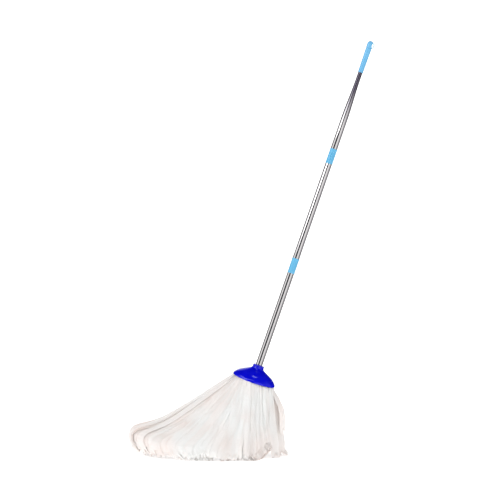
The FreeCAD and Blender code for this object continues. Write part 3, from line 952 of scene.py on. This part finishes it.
class Skirt:
    """Smooth surface through a set of falls, with folds, that strips can be laid on."""

    def __init__(self, falls, tuck, creases):
        angles = np.array(sorted(falls))
        table = np.array([falls[angle] for angle in angles])
        fine = np.linspace(angles[0], angles[-1], 241)
        rows = np.stack([np.interp(fine, angles, column) for column in table.T], axis=1)
        blur = np.ones(9) / 9
        for column in range(rows.shape[1]):
            padded = np.pad(rows[:, column], 4, mode="edge")
            rows[:, column] = np.convolve(padded, blur, mode="valid")
        paths = [fall_path(angle, row, tuck) for angle, row in zip(fine, rows)]
        coarse = np.array([path for path, length in paths])
        foot = coarse[:, -20]
        around = np.concatenate([[0], np.cumsum(np.linalg.norm(np.diff(foot, axis=0), axis=1))])
        self.width = around[-1]
        self.tuck = tuck
        self.even = even = np.linspace(0, self.width, COLUMNS)
        self.points = np.stack([[np.interp(even, around, coarse[:, level, axis]) for axis in range(3)]
                                for level in range(LEVELS)])
        self.points = self.points.transpose(2, 0, 1)
        self.angles = np.interp(even, around, fine)
        self.length = np.interp(even, around, [length for path, length in paths])
        self.metric()
        self.press(creases(self))
        self.metric()

    def metric(self):
        """Outward normals, and how many metres one step across is at each place."""
        across = np.gradient(self.points, axis=0)
        down = np.gradient(self.points, axis=1)
        self.step = np.linalg.norm(across, axis=2)
        normal = np.cross(across, down)
        normal /= np.linalg.norm(normal, axis=2)[..., None] + 1e-12
        side = (normal[..., :2] * self.points[..., :2]).sum(axis=2) + normal[..., 2] * 0.1
        self.normals = normal * np.where(side < 0, -1, 1)[..., None]

    def press(self, creases):
        """Press in each crease: place, depth, half-width, first and last level, and lean."""
        level = np.linspace(0, 1, LEVELS)[None, :]
        height = np.zeros((COLUMNS, LEVELS))
        for place, depth, width, start, end, lean in creases:
            away = np.abs(self.even[:, None] - place - lean * (level - 0.5)) / width
            fade = np.clip((level - start) / 0.25, 0, 1) * np.clip((end - level) / 0.1, 0, 1)
            height -= depth * np.exp(-away ** 1.3) * fade
        self.points = self.points + self.normals * height[..., None]
        self.points[..., 2] = np.maximum(self.points[..., 2], 0.0015)

    def place_of(self, angle):
        """Metres along the foot to a direction."""
        return float(np.interp(angle, self.angles, self.even))

    def at(self, column, level, values):
        """Values of the grid at fractional places, by mixing the four around each."""
        column = np.clip(column, 0, COLUMNS - 1.001)
        level = np.clip(level, 0, LEVELS - 1.001)
        left, upper = column.astype(int), level.astype(int)
        right, lower = column - left, level - upper
        if values.ndim == 3:
            right, lower = right[..., None], lower[..., None]
        return ((values[left, upper] * (1 - right) + values[left + 1, upper] * right) * (1 - lower)
                + (values[left, upper + 1] * (1 - right) + values[left + 1, upper + 1] * right) * lower)


def slight_creases(cloth, seed, gap, deepest):
    """Creases at uneven gaps, a few deep and most of them slight."""
    draw = np.random.default_rng(seed)
    creases = []
    place = 0.0
    while place < cloth.width:
        place += draw.uniform(0.4, 1.6) * gap
        depth = 0.0008 + deepest * draw.random() ** 2.5
        creases.append((place, depth, draw.uniform(0.006, 0.018), draw.uniform(0.0, 0.55),
                        draw.uniform(0.75, 1.3), draw.normal(0, 0.02)))
    return creases


# Direction in degrees, then depth, half-width and lean.
FRONT_FOLDS = ((262, 0.0060, 0.006, 0.01), (273, 0.0085, 0.006, -0.01), (285, 0.0075, 0.005, 0.0),
               (297, 0.0100, 0.006, 0.01), (309, 0.0060, 0.004, 0.0))


def skirt_creases(cloth):
    """The slight ones, the groove beside the ridge, and the deeper folds at the front."""
    ridge = cloth.place_of(180)
    named = [(ridge + 0.026, 0.010, 0.007, 0.42, 1.4, 0.010),
             (ridge + 0.060, 0.003, 0.012, 0.50, 1.0, -0.02)]
    for angle, depth, width, lean in FRONT_FOLDS:
        named.append((cloth.place_of(angle), depth, width, -0.05, 1.4, lean))
    return slight_creases(cloth, 11, 0.030, 0.0045) + named


skirt = Skirt(FALLS, 0.035, skirt_creases)
tail = Skirt(TAIL_FALLS, 0.006, lambda cloth: slight_creases(cloth, 5, 0.02, 0.002))
print(f"skirt {skirt.width:.2f} m round its foot, tail {tail.width:.2f} m")

# %% [markdown]
# ### One strip
# A strip keeps its width: where it is pleated, the pleats take the width up. So its cross-section
# is drawn by slope, step by step from one edge to the other, and its sideways place and its
# height both come out of that. Deep pleats near the sewn root fade on the way down.

# %% One strip
ACROSS = 11
ALONG = 60
STRIP_WIDTH = 0.028
CLOTH = 0.0008
PLEAT_DEPTH = 0.95
PLEAT_FADE = 0.12
CURL_FROM = 0.91
CURL_RISE = 0.012
FLARE = 0.006
SHARE = np.linspace(0, 1, ALONG)[:, None]
SIDE_TO_SIDE = np.linspace(-1, 1, ACROSS)[None, :]
GROUPS = {
    "strips_back_right": (15, 66),
    "strips_back": (66, 120),
    "strips_back_left": (120, 160),
    "strips_left_back": (160, 180),
    "strips_left_front": (180, 200),
    "strips_front_left": (200, 240),
    "strips_front": (240, 288),
    "strips_front_right": (288, 319),
}


def cross_sections(slope, width):
    """Sideways places and heights across a strip, added up from its slope at each step."""
    step = width / (ACROSS - 1)
    sideways = np.cumsum(np.cos(slope), axis=1) * step
    height = np.cumsum(np.sin(slope), axis=1) * step
    sideways -= sideways.mean(axis=1)[:, None]
    height -= height.mean(axis=1)[:, None]
    return sideways, height


def lay_strip(rng, cloth, column, depth, tilt, cup, drift, width=STRIP_WIDTH, short=0.0):
    """A grid of points for one strip on a skirt, and its length.

    column is where its root is, depth is how far under the skirt it lies, tilt and cup are the
    slope of its cross-section and the bend of that slope, drift carries its foot sideways, and
    short is how much shorter than its neighbours it is cut.
    """
    phase = rng.uniform(0, 2 * np.pi, 7)
    share, across = SHARE, SIDE_TO_SIDE
    pleat = PLEAT_DEPTH * np.exp(-share / PLEAT_FADE) + 0.05 + 0.06 * np.sin(4 * share + phase[0])
    waves = np.sin(np.pi * across * 1.7 + phase[1] + 2.2 * share) + 0.3 * np.sin(
        np.pi * across * 3.1 + phase[2] - 3 * share)
    slope = tilt + cup * across * np.clip(share * 3, 0.2, 1) + pleat * waves
    sideways, height = cross_sections(slope, width)
    full = float(np.interp(column, np.arange(COLUMNS), cloth.length))
    torn = 0.0035 * np.sin(2.2 * across + phase[5]) - 0.002 * across ** 2
    torn = torn + rng.normal(0, 0.0008, (1, ACROSS))
    missing = cloth.tuck * 0.9 + short + rng.normal(0, 0.003)
    level = share * (1 - (missing - torn) / full) * (LEVELS - 1)
    middle = np.full_like(level, column)
    pace = cloth.at(middle, level, cloth.step)
    wander = drift * share ** 2 + 0.0015 * np.sin(6 * share + phase[3]) * share
    place = middle + (sideways + wander) / np.maximum(pace, 1e-5)
    points = cloth.at(place, level, cloth.points)
    outward = cloth.at(place, level, cloth.normals)
    ripple = 0.0006 * np.sin(14 * share + phase[4]) * np.sin(np.pi * share)
    sink = depth * np.minimum(share * 8 + 0.45, 1)
    points = points + outward * (height + ripple - sink)[..., None]
    curl = np.clip((share - CURL_FROM) / 0.09, 0, 1) ** 2
    flare = abs(rng.normal(0, FLARE)) + 0.002 * (1 + np.sin(3 * across + phase[6]))
    plan = points[..., :2] / np.linalg.norm(points[..., :2], axis=-1, keepdims=True)
    points[..., :2] += plan * (curl * flare)[..., None]
    points[..., 2] += curl * CURL_RISE * rng.random() ** 1.6 * (1 + np.sin(4 * across + phase[5]))
    points[..., 2] = np.maximum(points[..., 2], 0.0008 + 0.0012 * rng.random())
    length = np.linalg.norm(np.diff(points[:, ACROSS // 2], axis=0), axis=1).sum()
    return points, float(length)


def ribbons_to_piece(name, ribbons, rng, width=STRIP_WIDTH):
    """One mesh from many strip grids, with UVs in metres and a tint for each strip."""
    corners = np.arange(ALONG * ACROSS).reshape(ALONG, ACROSS)
    quad = np.stack([corners[:-1, :-1], corners[:-1, 1:], corners[1:, 1:], corners[1:, :-1]], axis=-1)
    quad = quad.reshape(-1, 4)
    faces = np.vstack([quad + number * ALONG * ACROSS for number in range(len(ribbons))])
    points = np.vstack([grid.reshape(-1, 3) for grid, length in ribbons])
    tints = rng.random(len(ribbons))
    flat = []
    for (grid, length), tint in zip(ribbons, tints):
        lines = np.linspace(0, length, ALONG), np.linspace(0, width, ACROSS)
        down, over = np.meshgrid(*lines, indexing="ij")
        flat.append(np.stack([over + tint, down], axis=-1).reshape(-1, 2))
    flat = np.vstack(flat)
    mesh = bpy.data.meshes.new(name)
    mesh.from_pydata(points.tolist(), [], faces.tolist())
    chart = mesh.uv_layers.new(name="strip_uv")
    chart.data.foreach_set("uv", flat[faces.reshape(-1)].reshape(-1))
    tint_data = mesh.attributes.new("strip_tint", "FLOAT", "POINT")
    tint_data.data.foreach_set("value", np.repeat(tints, ALONG * ACROSS))
    piece = bpy.data.objects.new(name, mesh)
    bpy.context.collection.objects.link(piece)
    return piece


def finish_strips(piece, node, ribbons):
    """Give the cloth its thickness, and say what sheet of cloth the piece is."""
    pick(piece)
    thick = piece.modifiers.new("thickness", "SOLIDIFY")
    thick.thickness = CLOTH
    thick.offset = 0
    bpy.ops.object.modifier_apply(modifier="thickness")
    finish_piece(piece, "head", "strip_cloth", node, angle=80)
    mean_length = sum(length for grid, length in ribbons) / len(ribbons)
    print(f"  {len(ribbons)} strips, {mean_length:.3f} m long on average")


# %% [markdown]
# Three layers of strips go on the skirt, the lower ones further apart. The foot would be too neat
# with strips of one length, so each is cut short by a different amount, more where the cloth
# turns under itself. A strip joins the bundle of the direction in which it falls.

# %% Laying all the strips
rng = np.random.default_rng(23)
SPACING = 0.0175
# How deep a layer lies, how far apart its strips are, and the least and most they are cut short.
LAYERS = ((0.0, SPACING, 0.25, 0.95), (0.0035, SPACING * 1.25, 0.15, 0.7),
          (0.0085, SPACING * 1.4, -0.1, 0.3))
RAGGED = {15: 0.4, 60: 0.4, 140: 0.7, 162: 0.8, 186: 0.85, 198: 1.05, 212: 1.0, 232: 0.75,
          262: 0.5, 300: 0.3, 306: 0.8, 319: 0.9}
EDGE = 8
bundles = {node: [] for node in GROUPS}


def bundle_of(angle):
    return bundles[next(name for name, (start, end) in GROUPS.items() if start <= angle < end)]


def turned_under(angle):
    """How much of the cloth in a direction lies below its bulge, on the way in to its foot."""
    table = np.array([FALLS[key] for key in FALLS])
    reach, toe, foot = (np.interp(angle, list(FALLS), table[:, column]) for column in (0, 2, 3))
    return math.hypot(reach - foot, toe / 2)


for depth, spacing, least, most in LAYERS:
    count = round(skirt.width / spacing)
    for number in range(count):
        column = (number + 0.5 + rng.normal(0, 0.22)) / count * (COLUMNS - 1)
        column = min(max(column, EDGE), COLUMNS - 1 - EDGE)
        angle = float(np.interp(column, np.arange(COLUMNS), skirt.angles))
        tilt = rng.normal(0.045, 0.02)
        cup = rng.normal(0, 0.06)
        drift = rng.normal(0, 0.006)
        ragged = float(np.interp(angle, list(RAGGED), list(RAGGED.values())))
        short = rng.uniform(least, most) * ragged * turned_under(angle)
        strip = lay_strip(rng, skirt, column, depth, tilt, cup, drift, short=short)
        bundle_of(angle).append(strip)

# %% [markdown]
# A few strips on top of the heap lie loose and cross the others, and three near the ridge have
# rolled themselves into soft tubes. They are laid like the rest, a little above the skirt, with
# a sideways drift or with a strongly cupped cross-section.

# %% Loose and rolled strips
# Direction in degrees, depth under the skirt, cup and drift.
LOOSE = ((186, -0.0030, 0.0, 0.020), (196, -0.0015, 0.10, 0.045), (212, -0.0012, -0.05, -0.040),
         (226, -0.0010, 0.05, 0.030), (236, -0.0012, 0.05, -0.035), (252, -0.0012, -0.10, 0.022),
         (268, -0.0010, 0.10, -0.016), (281, -0.0012, 0.05, 0.012))
ROLLED = ((176, -0.0035, -2.0, 0.0), (181, -0.0065, -2.2, 0.006), (166, -0.0030, -1.7, 0.0))
for angle, depth, cup, drift in LOOSE + ROLLED:
    column = float(np.interp(angle, skirt.angles, np.arange(COLUMNS)))
    short = 0.4 * turned_under(angle)
    bundle_of(angle).append(lay_strip(rng, skirt, column, depth, 0.0, cup, drift, short=short))

for node, ribbons in bundles.items():
    piece = ribbons_to_piece(f"{node}_cloth", ribbons, rng)
    finish_strips(piece, node, ribbons)

# %% [markdown]
# The tail hangs by itself on the other side of the cap, so it gets its own small skirt. Three
# narrow strips of it bow out sideways, and need a third skirt, whose hump is high up.

# %% Tail
BOW_FALLS = {
    -30: (0.096, 0.184, 0.150, 0.080, -34, -24),
    -6: (0.100, 0.180, 0.148, 0.084, -8, -6),
    14: (0.100, 0.178, 0.140, 0.086, 10, 8),
}
BOW_WIDTH = 0.020
BOW_STRIPS = ((150, 0.002), (400, 0.0), (620, 0.004))
bow = Skirt(BOW_FALLS, 0.004, lambda cloth: [])
ribbons = []
TAIL_STRIPS = ((0.0, (90, 300, 520, 660)), (0.004, (140, 380, 600)), (0.008, (200, 480)))
for depth, columns in TAIL_STRIPS:
    for column in columns:
        cup = rng.normal(0.1, 0.1)
        ribbons.append(lay_strip(rng, tail, column, depth, 0.06, cup, rng.normal(0, 0.003)))
for column, depth in BOW_STRIPS:
    ribbons.append(lay_strip(rng, bow, column, depth, 0.1, 0.5, 0.0, width=BOW_WIDTH, short=0.085))
piece = ribbons_to_piece("strips_tail_cloth", ribbons, rng)
finish_strips(piece, "strips_tail", ribbons)

# %% [markdown]
# The heap would be hollow under the cap, so ten narrow strips hang straight down there. Each is
# turned on from the last by the angle at which leaves grow round a stem, which spreads them evenly.

# %% Innermost strips
CORE_WIDTH = 0.016
CORE_LENGTH = 0.215
CORE_ROOT = 0.220
CORE_STRIPS = 10
LEAF_ANGLE = 2.4
ribbons = []
for number in range(CORE_STRIPS):
    out = 0.006 + 0.0012 * number
    slope = 1.3 * np.sin(np.pi * SIDE_TO_SIDE * 1.4 + number + 2 * SHARE)
    sideways, height = cross_sections(slope, CORE_WIDTH)
    spin = number * LEAF_ANGLE + 0.8 * SHARE
    middle = out * (1.15 - 0.95 * SHARE)
    grid = np.stack([
        middle * np.cos(spin) + height * np.cos(spin) - sideways * np.sin(spin) * (1 - 0.6 * SHARE),
        middle * np.sin(spin) + height * np.sin(spin) + sideways * np.cos(spin) * (1 - 0.6 * SHARE),
        CORE_ROOT - CORE_LENGTH * SHARE + 0 * SIDE_TO_SIDE,
    ], axis=-1)
    ribbons.append((grid, CORE_LENGTH))
piece = ribbons_to_piece("strips_core_cloth", ribbons, rng, CORE_WIDTH)
finish_strips(piece, "strips_core", ribbons)

# %% [markdown]
# ## The sewn band
# Inside the cap the roots of all the strips are gathered and sewn into one flat ring. Its
# cross-section is swept round in small steps, and every step is pushed in and out by the pleats.

# %% Sewn band
BAND_INNER = 0.039
BAND_OUTER = 0.066
BAND_HEIGHT = 0.008
PLEATS = 120
STITCH_ROWS = (0.0560, 0.0590)
AROUND = PLEATS * 6
sides = ((BAND_INNER, 0, BAND_OUTER, 0, 28), (BAND_OUTER, 0, BAND_OUTER, BAND_HEIGHT, 8),
         (BAND_OUTER, BAND_HEIGHT, BAND_INNER, BAND_HEIGHT, 12),
         (BAND_INNER, BAND_HEIGHT, BAND_INNER, 0, 8))
outline = np.array([(r0 + (r1 - r0) * step / count, z0 + (z1 - z0) * step / count)
                    for r0, z0, r1, z1, count in sides for step in range(count)])
centre = np.array([(BAND_INNER + BAND_OUTER) / 2, BAND_HEIGHT / 2])
turn_to = np.linspace(0, 2 * np.pi, AROUND, endpoint=False)[:, None]
pleat = np.abs(np.sin(PLEATS / 2 * turn_to + 0.4 * np.sin(7 * turn_to)))
under = np.clip(1 - outline[:, 1] / 0.004, 0, 1)[None, :]
outer_side = np.clip((outline[:, 0] - 0.050) / 0.01, 0.25, 1)[None, :]
stitches = sum(np.exp(-((outline[:, 0] - row) / 0.0006) ** 2) for row in STITCH_ROWS)[None, :]
inset = 0.0012 * (1 - pleat) * outer_side + 0.0006 * stitches * under
arm = outline - centre
arm /= np.linalg.norm(arm, axis=1)[:, None]
radius = outline[None, :, 0] - arm[None, :, 0] * inset
height = outline[None, :, 1] - arm[None, :, 1] * inset
ring = np.stack([radius * np.cos(turn_to), radius * np.sin(turn_to), height], axis=-1)
count = len(outline)
index = np.arange(AROUND * count).reshape(AROUND, count)
onward = np.roll(index, -1, axis=0)
faces = np.stack([index, np.roll(index, -1, axis=1), np.roll(onward, -1, axis=1), onward], axis=-1)
mesh = bpy.data.meshes.new("strip_band_pleated")
mesh.from_pydata(ring.reshape(-1, 3).tolist(), [], faces.reshape(-1, 4).tolist())
chart = mesh.uv_layers.new(name="strip_uv")
down = np.cumsum(np.full((AROUND, count), 0.001), axis=1)
seam_free = np.stack([turn_to * 0.055 + 0 * radius, down], axis=-1)
chart.data.foreach_set("uv", seam_free.reshape(-1, 2)[faces.reshape(-1)].reshape(-1))
band = bpy.data.objects.new("strip_band_pleated", mesh)
bpy.context.collection.objects.link(band)
place_on_pole(band)
start_edit()
face_outward()
finish_piece(band, "head", "strip_cloth", "strip_band", angle=60)
